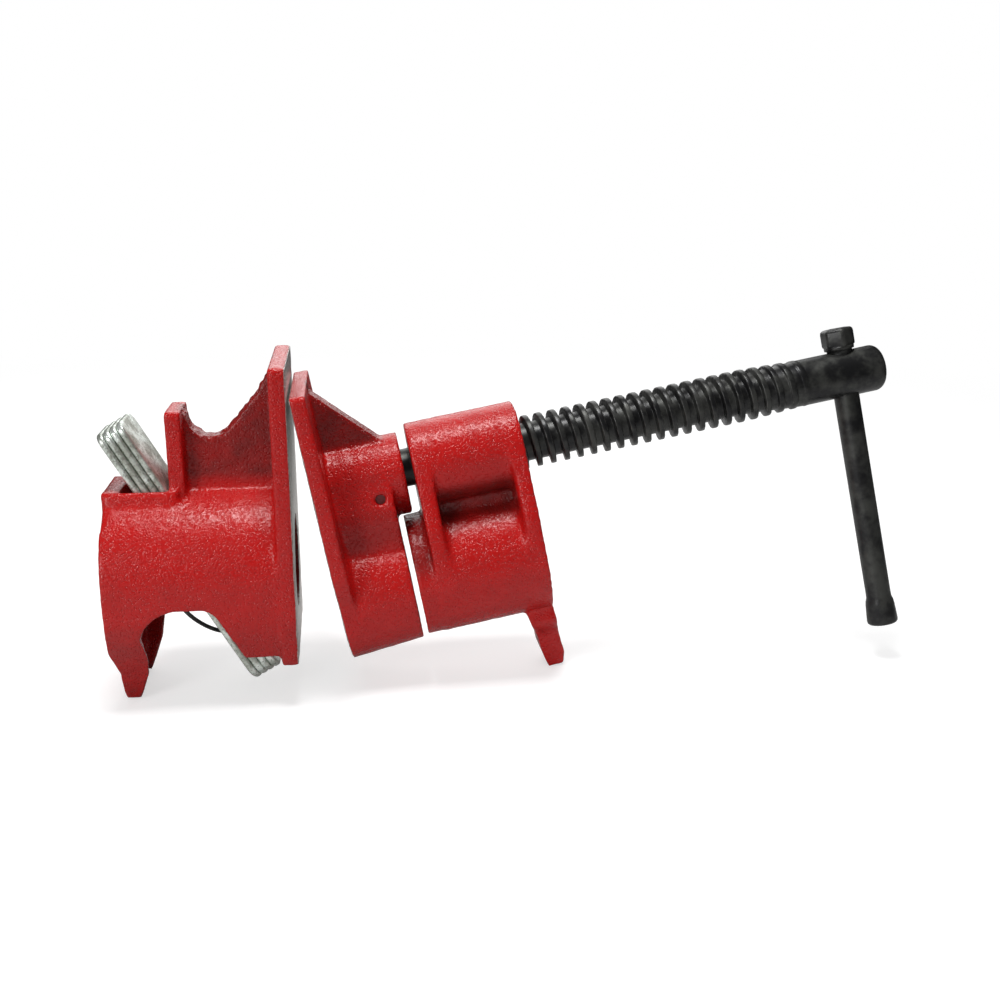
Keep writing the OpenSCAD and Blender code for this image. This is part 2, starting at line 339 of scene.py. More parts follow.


# %% [markdown]
# ### Red paint on cast iron
# The paint is thick and glossy over sand-cast pebbles, so the light breaks up into speckles on
# the round tops. Painted shade darkens it in the hollows and in the recesses that each casting
# marks on its points, and a painted highlight makes it lighter along the edges. The clamping
# faces are ground bare after painting, which shows as a thin pale line along the jaws. The paint
# gives way to bare iron a third of a millimetre from the face's own plane, which is given by its
# direction and its distance from the origin.

# %% red paint
RED = (0.47, 0.0065, 0.0058, 1.0)
# a slow change of tone, and also the painted shade in the hollows
RED_DEEP = (0.135, 0.006, 0.006, 1.0)
# painted shade in the recesses that each casting marks
RED_PAINTED_SHADE = (0.055, 0.007, 0.006, 1.0)
# painted highlight along the edges
RED_HIGHLIGHT = (0.60, 0.022, 0.018, 1.0)
BARE_IRON = (0.74, 0.73, 0.70, 1.0)
BARE_IRON_DARK = (0.52, 0.51, 0.48, 1.0)
COAT = 0.08
BARE_FROM, BARE_TO = 0.4, 0.15    # mm below the ground plane: paint below the first, then bare
FACE_WANDER = 0.6                 # mm: how far the paint's border wanders up and down
NO_FACE = 1000.0                  # mm: a plane so far off that nothing of the casting is bare


def red_paint(name, face_direction, face_offset_mm):
    """Paint everywhere but on the ground face, where dot(point, direction) reaches the offset."""
    material, tree, shader = new_material(name, Specular_IOR_Level=0.36, Coat_Roughness=0.22)
    grain = place_group(tree, grain_tree, Scale=1350.0, Pits=0.8)
    edges = place_group(tree, edge_tree, Break=240.0, Edge=0.555, Hollow=0.475)

    slow = ramp(tree, grain.outputs["Slow"], 0.35, 0.7)
    colour = part_mix(tree, slow, 0.12, RED, RED_DEEP)
    # painted shade: the hollows are darker
    colour = part_mix(tree, edges.outputs["Hollow"], 0.5, colour, RED_DEEP)
    # painted shade in the recesses, read from each point of the casting and uneven with the grain
    painted_shade = tree.nodes.new("ShaderNodeAttribute")
    painted_shade.attribute_name = "painted_shade"
    uneven = calc(tree, "MULTIPLY_ADD", grain.outputs["Slow"], 0.8, 0.32)
    colour = part_mix(tree, painted_shade.outputs["Fac"], uneven, colour, RED_PAINTED_SHADE)
    # painted highlight: the edges are lighter
    colour = part_mix(tree, edges.outputs["Edge"], 0.6, colour, RED_HIGHLIGHT)

    along = tree.nodes.new("ShaderNodeVectorMath")
    along.operation = "DOT_PRODUCT"
    tree.links.new(object_coords(tree), along.inputs[0])
    along.inputs[1].default_value = face_direction
    off_middle = calc(tree, "SUBTRACT", grain.outputs["Slow"], 0.5)
    wander = calc(tree, "MULTIPLY", off_middle, FACE_WANDER * MM)
    depth = calc(tree, "ADD", along.outputs["Value"], wander)
    bare = ramp(tree, depth, (face_offset_mm - BARE_FROM) * MM, (face_offset_mm - BARE_TO) * MM)
    iron = mix(tree, ramp(tree, grain.outputs["Fine"], 0.35, 0.65), BARE_IRON_DARK, BARE_IRON)
    painted = calc(tree, "SUBTRACT", 1.0, bare)

    tree.links.new(mix(tree, bare, colour, iron), shader.inputs["Base Color"])
    tree.links.new(calc(tree, "MULTIPLY", bare, 0.9), shader.inputs["Metallic"])
    gloss = calc(tree, "MULTIPLY_ADD", slow, 0.08, 0.17)
    tree.links.new(calc(tree, "MULTIPLY_ADD", bare, 0.12, gloss), shader.inputs["Roughness"])
    tree.links.new(calc(tree, "MULTIPLY", painted, COAT), shader.inputs["Coat Weight"])
    bump(tree, shader, grain.outputs["Height"], 1.0, 0.20)
    return material


head_axis = np.array([math.cos(HEAD_TILT), 0.0, math.sin(HEAD_TILT)])
jaw_face_offset = -float(HEAD_ORIGIN @ head_axis)
paint_tail = red_paint("red_paint_tail", (1.0, 0.0, 0.0), 0.0)
paint_jaw = red_paint("red_paint_jaw", tuple(-head_axis), jaw_face_offset)
paint_head = red_paint("red_paint_head", (1.0, 0.0, 0.0), NO_FACE)
print("jaw face at", round(jaw_face_offset, 2), "mm along", (-head_axis).round(3))

# %% [markdown]
# ### Zinc plate
# The plates are stamped and tumbled, then plated. Their faces are a dull pale grey with small
# dark specks, and their edges are rougher, with bright patches where they rub. Painted shade
# darkens their hollows, such as the hole.

# %% zinc
ZINC_DULL = (0.46, 0.49, 0.43, 1.0)
ZINC_CLEAN = (0.93, 1.0, 0.94, 1.0)
ZINC_SPECK = (0.13, 0.13, 0.10, 1.0)
# painted shade in the hollows
ZINC_PAINTED_SHADE = (0.10, 0.09, 0.08, 1.0)
ZINC_RUBBED = (0.85, 0.86, 0.84, 1.0)

zinc, tree, shader = new_material("zinc_plate", Metallic=0.82)
grain = place_group(tree, grain_tree, Scale=1500.0, Pits=0.5)
edges = place_group(tree, edge_tree, Break=500.0, Edge=0.52, Hollow=0.46)
patches = ramp(tree, grain.outputs["Slow"], 0.36, 0.64)
specks = ramp(tree, grain.outputs["Fine"], 0.50, 0.66)
colour = mix(tree, patches, ZINC_DULL, ZINC_CLEAN)
colour = part_mix(tree, specks, 0.6, colour, ZINC_SPECK)
# painted shade: the hollows are darker
colour = part_mix(tree, edges.outputs["Hollow"], 0.8, colour, ZINC_PAINTED_SHADE)
colour = part_mix(tree, edges.outputs["Edge"], 0.5, colour, ZINC_RUBBED)
tree.links.new(colour, shader.inputs["Base Color"])
tree.links.new(calc(tree, "MULTIPLY_ADD", patches, -0.14, 0.50), shader.inputs["Roughness"])
bump(tree, shader, grain.outputs["Height"], 0.7, 0.09)
print("zinc", len(tree.nodes), "nodes")


# %% [markdown]
# ### Black oxide
# The screw and the bar are blackened steel with a little oil: almost black, satin, and a shade
# browner and lighter where hands and the nut rub. The spring wire has the same finish,
# smoother.

# %% black oxide
OXIDE_OILED = (0.018, 0.018, 0.019, 1.0)
OXIDE_DRY = (0.062, 0.063, 0.058, 1.0)
OXIDE_RUBBED = (0.16, 0.16, 0.15, 1.0)


def black_oxide(name, scale, worn):
    """Black oxide whose rubbed edges show by the amount worn."""
    material, tree, shader = new_material(name, Metallic=0.55)
    grain = place_group(tree, grain_tree, Scale=scale, Pits=0.2)
    edges = place_group(tree, edge_tree, Break=600.0, Edge=0.53)
    patches = ramp(tree, grain.outputs["Slow"], 0.38, 0.66)
    colour = mix(tree, patches, OXIDE_OILED, OXIDE_DRY)
    colour = part_mix(tree, edges.outputs["Edge"], worn, colour, OXIDE_RUBBED)
    tree.links.new(colour, shader.inputs["Base Color"])
    tree.links.new(calc(tree, "MULTIPLY_ADD", patches, 0.16, 0.30), shader.inputs["Roughness"])
    bump(tree, shader, grain.outputs["Height"], 0.35, 0.05)
    return material


oxide_screw = black_oxide("black_oxide_screw", 1400.0, 0.7)
oxide_bar = black_oxide("black_oxide_bar", 1100.0, 0.4)
wire_black = black_oxide("black_wire", 2500.0, 0.2)
print("materials", [m.name for m in bpy.data.materials])

# %% [markdown]
# ## The castings
# A casting has no sharp corner: sand can't hold one, and paint rounds what is left. Bevelling
# the many crossing edges by hand would be long and would still look machined. Instead a copy of
# each casting is rebuilt on a fine cubic grid, relaxed a few times so that every edge rounds
# over by the same small amount, and pushed in and out by slow waves, which is what a sand mould
# does.

# %% lumps of the sand mould
def waves(points, length_mm, count, seed):
    """Slow lumps about 1 high: sum over count waves of cos(k . p + phase) / sqrt(count / 2), with
    random directions and phases, and lengths from 0.7 to 1.4 times the stated one."""
    draw = np.random.default_rng(seed)
    direction = draw.normal(size=(count, 3))
    direction /= np.linalg.norm(direction, axis=1)[:, None]
    direction *= 2 * np.pi / (length_mm * draw.uniform(0.7, 1.4, size=(count, 1)))
    phase = draw.uniform(0, 2 * np.pi, count)
    return np.cos(points @ direction.T + phase).sum(axis=1) / math.sqrt(count / 2)


CAST_GRID = 0.62              # mm: cell of the cubic grid
CAST_RELAX, MELT_RELAX = 4, 50
CAST_INSET = 0.02             # mm: how far the skin stays inside the box of its node
MELT_LEVELS, MELT_MARGIN = (0.33, 0.66, 1.0), 0.17
SINK = 0.04                   # mm: the skin's mean depth, so that few waves reach outward
LONG_WAVES = (7.0, 28, 3)     # length in mm, count and seed
SHORT_WAVES = (2.4, 40, 5)
CHIP_WAVES = (2.6, 30, 11)


def read_points(mesh, field="co"):
    """Points or normals of a mesh as an array, in millimetres for points."""
    values = np.empty(len(mesh.vertices) * 3)
    mesh.vertices.foreach_get(field, values)
    return values.reshape(-1, 3) / (MM if field == "co" else 1.0)


def applied(piece, kind, **settings):
    """Adds one modifier, applies it, and gives the new mesh to the piece."""
    modifier = piece.modifiers.new(kind.lower(), kind)
    for name, value in settings.items():
        setattr(modifier, name, value)
    scene_now = bpy.context.evaluated_depsgraph_get()
    mesh = bpy.data.meshes.new_from_object(piece.evaluated_get(scene_now))
    piece.modifiers.clear()
    piece.data = mesh
    return mesh


def cast(node, shade, reshape=None, rough_edge=None, melt=None, added=()):
    """A copy of a CAD casting with any added closed forms, rebuilt on a cubic grid, reshaped,
    relaxed (more where melt is 1), and displaced along its normals by long and short waves. It
    stays in the box of its node. shade gives each point its painted shade, which the paint reads."""
    piece = bpy.data.objects.new(node + "_cast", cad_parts[node].data.copy())
    bpy.context.collection.objects.link(piece)
    work = bmesh.new()
    work.from_mesh(piece.data)
    bmesh.ops.remove_doubles(work, verts=work.verts, dist=1e-6)
    work.to_mesh(piece.data)
    work.free()
    drawn = read_points(piece.data)
    low, high = drawn.min(axis=0) + CAST_INSET, drawn.max(axis=0) - CAST_INSET
    for points, faces in added:
        join(piece.data, points, faces)
    mesh = applied(piece, "REMESH", mode="VOXEL", voxel_size=CAST_GRID * MM)
    if reshape:
        mesh.vertices.foreach_set("co", (reshape(read_points(mesh)) * MM).ravel())
    mesh = applied(piece, "SMOOTH", factor=0.5, iterations=CAST_RELAX)
    if melt:
        weight = melt(read_points(mesh))
        group = piece.vertex_groups.new(name="melt")
        for level in MELT_LEVELS:
            chosen = np.flatnonzero(weight > level - MELT_MARGIN)
            group.add(chosen.tolist(), level, "REPLACE")
        mesh = applied(piece, "SMOOTH", factor=0.5, iterations=MELT_RELAX, vertex_group="melt")
        piece.vertex_groups.clear()
    points = read_points(mesh)
    depth = -SINK + 0.02 * waves(points, *LONG_WAVES) + 0.022 * waves(points, *SHORT_WAVES)
    normals = read_points(mesh, "normal")
    if rough_edge:
        depth += rough_edge(points, normals)
    points = np.clip(points + depth[:, None] * normals, low, high)
    mesh.vertices.foreach_set("co", (points * MM).ravel())
    smooth(mesh)
    mesh.update()
    mesh.name = piece.name
    # each point's painted shade, which the red paint reads
    mesh.attributes.new("painted_shade", "FLOAT", "POINT").data.foreach_set("value", shade(points))
    return piece


def join(mesh, points, faces):
    """Adds a closed form to a mesh, with its faces turned out."""
    work = bmesh.new()
    work.from_mesh(mesh)
    corners = [work.verts.new(p) for p in np.asarray(points) * MM]
    new_faces = [work.faces.new([corners[k] for k in face]) for face in faces]
    bmesh.ops.recalc_face_normals(work, faces=new_faces)
    work.to_mesh(mesh)
    work.free()


def loft(levels):
    """A closed form through four-cornered levels; each level is four points in turn."""
    rows = len(levels)
    ends = [(3, 2, 1, 0), tuple(4 * (rows - 1) + k for k in range(4))]
    return np.asarray(levels, float).reshape(-1, 3), grid_faces(rows, 4).tolist() + ends


def within(x, low, high, edge=1.0):
    """1 between low and high, and 0 from an edge's width beyond them."""
    return step(x, low - edge, low) * (1 - step(x, high, high + edge))


# %% [markdown]
# The upper edge of the tail's web is left as it broke from the feeder: it is chipped and
# uneven. Extra waves act only near that edge, on the web's own stretch between the thumb tab
# and the jaw plate.

# %% tail casting
def broken_web(points, normals):
    """Chips a few tenths of a millimetre deep on the web's top edge, where the normals point up.
    The edge is the curve z = 39 + 0.052 (x + 22.6)^2."""
    x, y, z = points.T
    edge_z = 39.0 + 0.052 * (x + 22.6) ** 2
    near = step(x, -31, -29) * step(-x, 5.5, 7) * step(z, edge_z - 1.5, edge_z)
    near *= step(normals[:, 2], 0.2, 0.6) * (1 - step(np.abs(y), 4.2, 5))
    return near * (0.15 * waves(points, *CHIP_WAVES) - 0.12)


CHEEK_T = 3.4
CHEEK_LEVELS = ((-13, -52.5, -44.4, 23.2), (-18, -52.8, -43.0, 22.4), (-22, -52.7, -42.6, 20.6),
                (-28, -51.2, -43.2, 16.4), (-36.7, -50.8, -46.4, 12.0))


def leg_cheek(side):
    """Side wall of the leg, from the barrel down to the tip: it narrows along x and across. The
    levels are (height, back, front, outer half width)."""
    levels = []
    for z, back, front, outer in CHEEK_LEVELS:
        y_out, y_in = side * outer, side * (outer - CHEEK_T)
        levels.append([(back, y_out, z), (front, y_out, z), (front, y_in, z), (back, y_in, z)])
    return loft(levels)


def slim_leg(points):
    """Behind the arch the sides close in from z = -10 down to the leg's tip, and the back steps
    in."""
    x, y, z = points.T
    side = np.interp(z, [-36.8, -26, -17, -10], [12.0, 16.4, 21.2, 24.0])
    share = 1 - step(x, -42, -32)
    kept = np.sign(y) * np.minimum(np.abs(y), side)
    back = np.interp(z, [-27, -16], [-50.9, -54.0])
    return np.stack([np.maximum(x, back), y + share * (kept - y), z], axis=-1)


def tail_painted_shade(points):
    """Painted shade on the web, in the slot, in the bore and under the barrel."""
    x, y, z = points.T
    web = within(x, -30.5, -5, 2) * step(z, 25, 29) * (1 - step(np.abs(y), 4.3, 5.5)) * 0.8
    slot = within(x, -47.9, -34.7, 0.3) * (1 - step(np.abs(y), 9.2, 9.7)) * (1 - step(z, 23, 24.6))
    inside = 1 - step(np.hypot(y, z), 20.0, 21.5)
    under = 0.4 * (1 - step(z, -22, -4))
    return np.maximum.reduce([web, slot, inside * 0.9, under])


def boss_edge(points):
    """1 along the flat boss's long edges, which run out softly into the barrel."""
    x, y, z = points.T
    aside = step(np.abs(y), 10.1, 10.9) * (1 - step(np.abs(y), 16, 19))
    return within(x, -54, -30, 2) * aside * step(z, 14, 17)


tail = cast("tail_casting", tail_painted_shade, slim_leg, rough_edge=broken_web, melt=boss_edge,
            added=(leg_cheek(-1), leg_cheek(1)))
settle(tail, "tail", "red_paint", paint_tail, "tail_casting")

# %% [markdown]
# ## The slim sleeves
# Seen against the photograph, the two sleeves round the pipe are slimmer than the construction
# has them: the outer round is 38 mm wide, not 44 to 47, and its middle lies 2 to 3 mm above the
# pipe's. The wall is drawn in toward the bore by one formula of the distance and angle round
# the pipe's axis. It leaves the bore, the nut boss and the upper plate where they are, and
# fades out just above the sleeve, so that the neighbouring walls follow softly.

# %% jaw and head castings
WAY_R = 13.7                  # the pipe way
JAW_SLEEVE_R, HEAD_SLEEVE_R = 23.4, 22.0
# radii across which the painted shade in the pipe way fades out
BORE_SHADE_R = 13.9, 14.6


def drawn_in(local, old_r, new_r, rise, share=1.0, fade=6.0):
    """Moves the wall between the bore and old_r so that it ends on a round of radius new_r whose
    middle is rise above the axis: ring(f) = rise sin f + sqrt(new_r^2 - rise^2 cos^2 f). Beyond
    old_r the same shift fades out over the stated distance."""
    u, y, v = local.T
    around = np.arctan2(v, np.abs(y))
    reach = np.hypot(y, v)
    ring = rise * np.sin(around) + np.sqrt(new_r ** 2 - (rise * np.cos(around)) ** 2)
    shift = (old_r - ring) * share
    inside = (reach - WAY_R) / (old_r - WAY_R)
    moved = reach - shift * np.where(reach < old_r, np.clip(inside, 0, 1),
                                     1 - step(reach, old_r, old_r + fade))
    scale = moved / np.maximum(reach, 1e-6)
    return np.stack([u, y * scale, v * scale], axis=-1)


def slim_jaw(points):
    """The jaw's sleeve, which tapers a little to its end. The plate keeps its width above the
    shoulder."""
    local = head_back(points)
    u, y, v = local.T
    angle = np.degrees(np.arctan2(v, np.abs(y)))
    on_plate = 1 - step(u, 4.7, 5.6)
    share = 1 - on_plate * step(angle, 14, 33)
    return head_place(drawn_in(local, JAW_SLEEVE_R, 19.4 - 0.07 * u, 1.7, share))


def slim_head(points):
    """The socket of the head, and its foot, which is a narrow fork at the tip."""
    local = drawn_in(head_back(points), HEAD_SLEEVE_R, 19.0, 3.4)
    local[:, 1] *= 1 - 0.52 * step(-local[:, 2], 17, 24)
    return head_place(local)


def bore_painted_shade(y, v):
    """Painted shade in the pipe way."""
    return 0.9 * (1 - step(np.hypot(y, v), *BORE_SHADE_R))


def jaw_painted_shade(points):
    """Painted shade on the gusset, under the boss and in the bore."""
    u, y, v = head_back(points).T
    gusset = within(u, 4.5, 22) * step(v, 45, 49) * (1 - step(np.abs(y), 4.3, 5.5)) * 0.8
    under = within(u, 4.5, 27) * within(v, 20, 27, 4) * 0.35
    return np.maximum.reduce([gusset, under, bore_painted_shade(y, v)])


def head_painted_shade(points):
    """Painted shade in the pockets between the nut boss and the socket, in the bore and on the
    head's front end, and darker on the foot's inside."""
    u, y, v = head_back(points).T
    deep = 1 - step(np.abs(y), 12.2, 13.4)
    pocket = within(u, 34.5, 56.5, 1.5) * within(v, 21.5, 28, 5) * deep
    foot = within(u, 50, 58, 2) * (1 - step(v, -19, -17)) * (1 - step(np.abs(y), 2.5, 4)) * 0.6
    front = within(u, 20, 29, 0.5) * step(v, 5, 12) * 0.7
    return np.maximum.reduce([pocket, bore_painted_shade(y, v), foot, front])


def rim_flanks(points):
    """1 along the inner flanks of the head's two rims, which run out softly into the socket."""
    u, y, v = head_back(points).T
    flanks = np.maximum(within(u, 32.5, 36.5, 1.5), within(u, 54.5, 58.5, 1.5))
    return 0.8 * flanks * step(np.abs(y), 6, 8) * within(v, -12, 30, 4)


jaw = cast("moving_jaw", jaw_painted_shade, slim_jaw)
settle(jaw, "jaw", "red_paint", paint_jaw, "moving_jaw")
head = cast("head_casting", head_painted_shade, slim_head, melt=rim_flanks)
settle(head, "head", "red_paint", paint_head, "head_casting")

# %% [markdown]
# ## The screw
# A coarse thread is cut on a 16 mm bar: 4.2 mm a turn, with crests narrower than the gaps. It
# could be a section swept along a helix, but then its ends have to be joined to the shaft by
# hand. A turned form with a radius that depends on both the place along the axis and the angle
# round it is one closed skin. The crest's place shifts by one pitch for each turn, and the
# thread fades in behind the neck and runs out before the hub.

# %% screw profile
PITCH = 4.2
CREST_R, ROOT_R = 7.95, 5.75
CREST_SHARE, FLANK_SHARE = 0.44, 0.075    # shares of a pitch
CROWN = 0.16                              # mm: how far the crest's middle stands above its edges
NECK_R = 5.66
THREAD_FROM, THREAD_TO = 29.2, 151.8
RUN_IN, RUN_OUT = 2.5, 22.0
HUB_FROM, HUB_TO, HUB_R = 153.2, 176.2, 7.05
TIP_U, PIN_U, GROOVE_R, GROOVE_HALF = 12.35, 18.2, 3.5, 1.8


def screw_radius(u, angle):
    """Radius of the screw at u and angle: the shaft's own radius, plus the thread's height where
    the phase u / pitch - angle / turn falls on the crest."""
    phase = (u / PITCH - angle / (2 * np.pi)) % 1.0
    crest_end = CREST_SHARE + FLANK_SHARE
    crest = step(phase, 0.0, FLANK_SHARE) * (1 - step(phase, CREST_SHARE, crest_end))
    crown = CROWN * (1 - ((phase - crest_end / 2) / 0.26) ** 2)
    start = step(u, THREAD_FROM, THREAD_FROM + RUN_IN)
    run_out = step(u, THREAD_TO - RUN_OUT, THREAD_TO)
    root = ROOT_R + run_out * (HUB_R - ROOT_R)
    shaft = NECK_R + step(u, THREAD_FROM - 0.8, THREAD_FROM) * (root - NECK_R)
    top = CREST_R - 0.25 * (1 - start) - 0.75 * run_out - CROWN
    thread = start * (1 - step(u, THREAD_TO - 1.5, THREAD_TO))
    radius = shaft + thread * crest * (top - shaft + crown)
    groove = within(u, PIN_U - GROOVE_HALF, PIN_U + GROOVE_HALF, 0.15)
    radius = radius - groove * (radius - GROOVE_R)
    hub = step(u, HUB_FROM - 1.0, HUB_FROM)
    return radius + hub * (HUB_R - radius)


# %% screw mesh
COLS = 84                                 # points round the screw
SHAFT_ROW, THREAD_ROW = 0.25, 0.19        # mm between rows: a thread's flank needs the finer ones
ROUND_OFF = 2.6                           # radius of the hub's end

rows_shaft = np.concatenate([[TIP_U] * 2, np.arange(TIP_U + 0.2, THREAD_FROM - 1, SHAFT_ROW)])
rows_thread = np.arange(THREAD_FROM - 1, HUB_FROM + 0.2, THREAD_ROW)
rows_hub = np.linspace(HUB_FROM + 0.6, HUB_TO - ROUND_OFF, 30)
end_angle = np.linspace(0, np.pi / 2, 12)[1:]
rows_end = HUB_TO - ROUND_OFF + ROUND_OFF * np.sin(end_angle)
u_rows = np.concatenate([rows_shaft, rows_thread, rows_hub, rows_end])
turn_angle = np.linspace(0, 2 * np.pi, COLS, endpoint=False)
screw_r = screw_radius(u_rows[:, None], turn_angle[None, :])
screw_r[0] = NECK_R - 1.2
screw_r[1] = NECK_R - 0.7
screw_r[-len(rows_end):] = (HUB_R - ROUND_OFF + ROUND_OFF * np.cos(end_angle))[:, None]
screw_points, screw_faces = turned(u_rows, screw_r)
screw_points[:, 2] += SCREW_RISE
screw = make_piece("screw_turned", head_place(screw_points), screw_faces)
turns = (THREAD_TO - THREAD_FROM) / PITCH
print("screw", len(u_rows), "rows,", round(turns, 1), "turns of thread")

# %% [markdown]
# ## The handle bar
# The bar is a plain rod with a head forged at one end and the other end swaged after it was put
# through the hub, so it can't come out. It hangs at its stop, swung 9 degrees to the front. The
# section is round along the shaft and turns into a rounded hexagon at the head.

# %% handle bar
BAR_U = 164.5
BAR_SWING = math.radians(8.6)
BAR_R = 3.8
BAR_LOW = -79.8
HEAD_LOW, HEAD_HIGH = 8.65, 14.05         # the two ends of the bar's own head
HEX_ACROSS, HEX_ROUND = 8.9, 1.11
FLATTENED = 0.03                          # the swage is this share wider one way than it is round


def hexagon(angle, across, rounding):
    """Radius of a hexagon with round corners: the flat's distance over the cosine of the angle
    from its middle, kept under a round of the stated share."""
    from_flat = (angle + np.pi / 6) % (np.pi / 3) - np.pi / 6
    return np.minimum(across / 2 / np.cos(from_flat), across / 2 * rounding)


def on_bar(points):
    """Points turned about +X are set along the bar, through the middle of the hub."""
    along, across, up = points.T
    c, s = math.cos(BAR_SWING), math.sin(BAR_SWING)
    return head_place(np.stack([BAR_U + across, along * s + up * c,
                                SCREW_RISE + along * c - up * s], axis=-1))


swage_z = BAR_LOW + np.array([0, 0, 0.35, 0.9, 3, 6, 7.3, 8.4, 10])
swage_r = np.array([3.8, 4.2, 4.5, 4.6, 4.5, 4.35, 4.2, 3.86, BAR_R])
rod_z = np.array([-40, 0, 6.5, 7.45, 7.6, 8.4, 8.6])
rod_r = np.array([BAR_R, BAR_R, BAR_R, BAR_R, 4.45, 4.5, 4.45])
bar_z, bar_r = np.concatenate([swage_z, rod_z]), np.concatenate([swage_r, rod_r])
head_z = np.array([HEAD_LOW, HEAD_LOW + 0.3, HEAD_LOW + 0.7, HEAD_HIGH - 1.1, HEAD_HIGH - 0.5,
                   HEAD_HIGH - 0.12, HEAD_HIGH])
head_scale = np.array([0.93, 0.985, 1.0, 1.0, 0.965, 0.88, 0.80])
bar_angle = np.linspace(0, 2 * np.pi, 72, endpoint=False)
head_rows = head_scale[:, None] * hexagon(bar_angle, HEX_ACROSS, HEX_ROUND)[None, :]
low_end = step(-bar_z, -(BAR_LOW + 9), -(BAR_LOW + 4))[:, None]
swage = 1 + FLATTENED * np.cos(2 * bar_angle)[None, :] * low_end
rows_r = np.vstack([bar_r[:, None] * swage, head_rows])
bar_points, bar_faces = turned(np.concatenate([bar_z, head_z]), rows_r)
bar = make_piece("handle_bar_forged", on_bar(bar_points), bar_faces)
settle(bar, "bar", "black_oxide", oxide_bar, "handle_bar")

# %% [markdown]
# The hub is drilled for the bar. The hole is cut with a rod as wide as the bar and a little
# more, set where the bar is, so that the bar really passes through the metal.

# %% drill the hub
BAR_PLAY = 0.1
drill_points, drill_faces = turned(np.linspace(-12, 12, 3), np.full((3, 48), BAR_R + BAR_PLAY))
drill = make_piece("drill", on_bar(drill_points), drill_faces)
smooth(applied(screw, "BOOLEAN", operation="DIFFERENCE", object=drill, solver="EXACT"))
bpy.data.objects.remove(drill)
settle(screw, "screw", "black_oxide", oxide_screw, "screw")

# %% [markdown]
# ## Clutch plates
# A stamped and tumbled plate has rolled edges. The plate's outline is one closed path, and the
# section from the hole, over one face, round the rolled edges and back over the other face is
# carried along it. The points at the hole lie in the same direction from its middle as those of
# the outline, so the faces between them don't twist.

# %% clutch plates
PLATE_T, PLATE_STEP = 2.0, 2.12
PLATE_W, TONGUE_W = 36.0, 18.0
TONGUE_TOP, PLATE_LOW = 23.2, -59.7
HOLE_R = 15.8
HOLE_LOW = -(FULCRUM[2] / math.cos(PLATE_TILT) + 1.2)    # the hole hangs a little below the pipe
ROLL = 0.75                                              # radius of the rolled edge
OUTLINE_POINTS = 260


def rounded_path(corners, per_corner=9):
    """Points round a closed outline: at each corner (x, y, r) an arc of radius r that meets both
    sides, taken as the quadratic curve whose ends lie r * tan(half turn) along the sides."""
    corners = np.asarray(corners, float)
    here = corners[:, :2]
    back = np.roll(here, 1, axis=0) - here
    on = np.roll(here, -1, axis=0) - here
    back /= np.linalg.norm(back, axis=1)[:, None]
    on /= np.linalg.norm(on, axis=1)[:, None]
    turn = np.arccos(np.clip(-(back * on).sum(axis=1), -1, 1))
    reach = corners[:, 2] * np.tan(turn / 2)
    t = np.linspace(0, 1, per_corner)[None, :, None]
    a = (here + reach[:, None] * back)[:, None, :]
    b = (here + reach[:, None] * on)[:, None, :]
    weight = np.cos(turn / 2)[:, None, None]
    blend = (1 - t) ** 2 + 2 * weight * t * (1 - t) + t ** 2
    curve = ((1 - t) ** 2 * a + 2 * weight * t * (1 - t) * here[:, None, :] + t ** 2 * b) / blend
    return curve.reshape(-1, 2)


def evenly(path, count):
    """The closed path again, as count points at equal distances along it."""
    closed = np.vstack([path, path[:1]])
    length = np.concatenate([[0], np.cumsum(np.linalg.norm(np.diff(closed, axis=0), axis=1))])
    at = np.linspace(0, length[-1], count, endpoint=False)
    return np.stack([np.interp(at, length, closed[:, k]) for k in (0, 1)], axis=-1)


half_body, half_tongue = PLATE_W / 2, TONGUE_W / 2
shoulder = HOLE_LOW + math.sqrt(half_body ** 2 - half_tongue ** 2)
body_arc = [(half_body * math.cos(a), HOLE_LOW + half_body * math.sin(a), 3.0)
            for a in np.radians(np.linspace(4, 52, 5))]
right_side = [(half_body, PLATE_LOW, 5.0)] + body_arc + [(half_tongue, shoulder, 2.0),
                                                        (half_tongue, TONGUE_TOP, 3.2)]
left_side = [(-x, z, r) for x, z, r in right_side[::-1]]
outline = evenly(rounded_path(right_side + left_side), OUTLINE_POINTS)
ray = np.arctan2(outline[:, 1] - HOLE_LOW, outline[:, 0])
hole = np.stack([HOLE_R * np.cos(ray), HOLE_LOW + HOLE_R * np.sin(ray)], axis=-1)
tangent = np.roll(outline, -1, axis=0) - np.roll(outline, 1, axis=0)
tangent /= np.linalg.norm(tangent, axis=1)[:, None]
outward = np.stack([tangent[:, 1], -tangent[:, 0]], axis=-1)
outward *= np.sign((outward * (outline - [0, HOLE_LOW])).sum())


def plate(name, index):
    """One plate. Its section's points are (share of the way from the hole to the outline, inset,
    depth): the hole's broken edge, the front face, both rolled edges, and back over the rear."""
    turn = np.linspace(0, np.pi / 2, 6)
    edge_in = ROLL * (1 - np.sin(turn))
    edge_x = -ROLL * (1 - np.cos(turn))
    section = [(0.0, 0.0, -0.25), (0.012, 0.0, 0.0), (0.5, 0.0, 0.0)]
    section += [(1.0, i, x) for i, x in zip(edge_in, edge_x)]
    section += [(1.0, i, -PLATE_T - x) for i, x in zip(edge_in[::-1], edge_x[::-1])]
    section += [(0.5, 0.0, -PLATE_T), (0.012, 0.0, -PLATE_T), (0.0, 0.0, 0.25 - PLATE_T)]
    rings = [np.column_stack([np.full(len(outline), x - index * PLATE_STEP),
                              hole + share * (outline - hole) - inset * outward])
             for share, inset, x in section]
    points = np.vstack(rings)
    faces = grid_faces(len(rings), len(outline), wrap_rows=True)
    return make_piece(name, plate_place(points), faces)


for number in range(4):
    piece = plate(f"clutch_plate_stamped_{4 - number}", number)
    settle(piece, "clutch", "zinc_steel", zinc, f"clutch_plate_{4 - number}")
